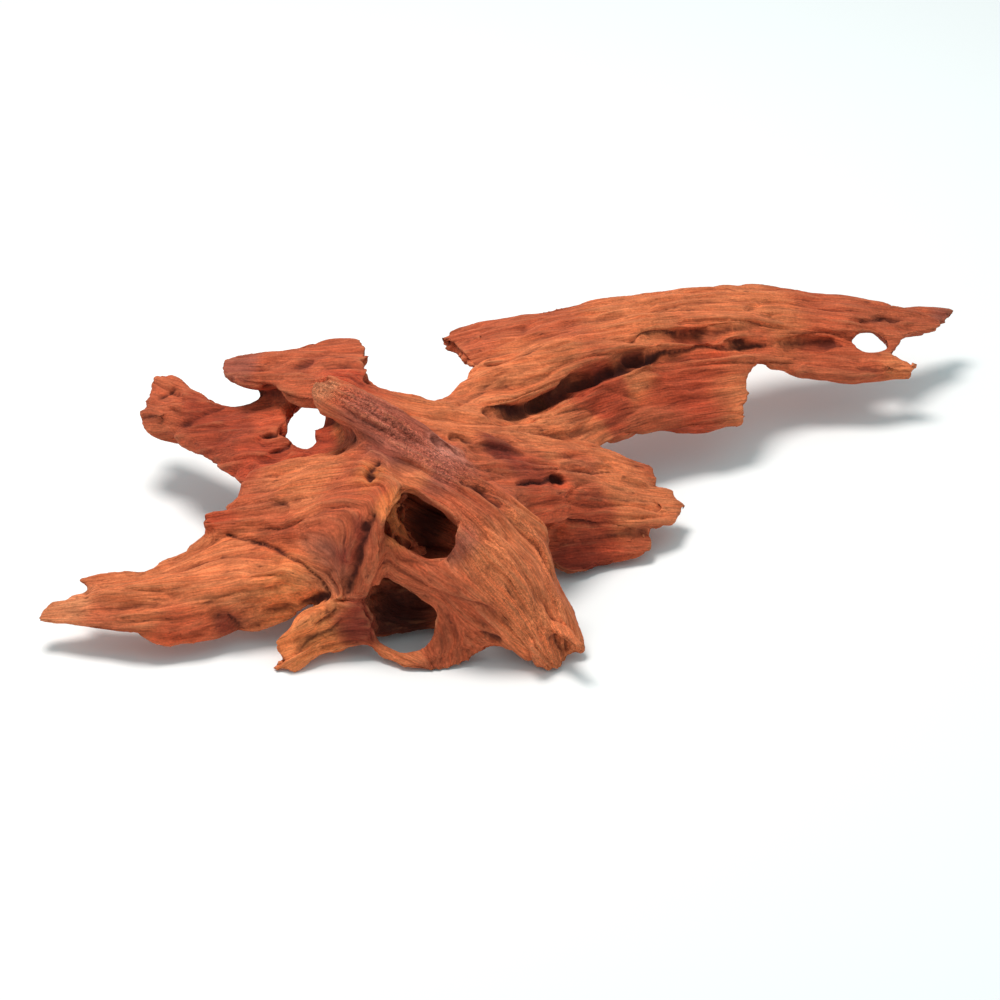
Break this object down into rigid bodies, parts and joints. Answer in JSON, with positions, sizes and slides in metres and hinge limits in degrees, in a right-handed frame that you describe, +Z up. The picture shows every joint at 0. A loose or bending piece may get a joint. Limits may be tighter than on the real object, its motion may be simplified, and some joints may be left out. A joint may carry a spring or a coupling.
{
  "type": "teak root wood",
  "caption": "Sprawling weathered piece of teak root wood: a long arm, flat jagged lobes and a hooded ridge with knot holes, lying on its own low points.",
  "frame": {"origin": "middle of the bounding box, level with the low points that the piece rests on", "axes": "+X to the right along the long arm's reach, +Y to the back, +Z up"},
  "size_m": [0.4642, 0.3232, 0.1079],
  "materials": {
    "teak": "dry, rough and dull, weathered along the grain"
  },
  "bodies": {
    "root": {"teak_wood": "teak"}
  },
  "joints": []
}
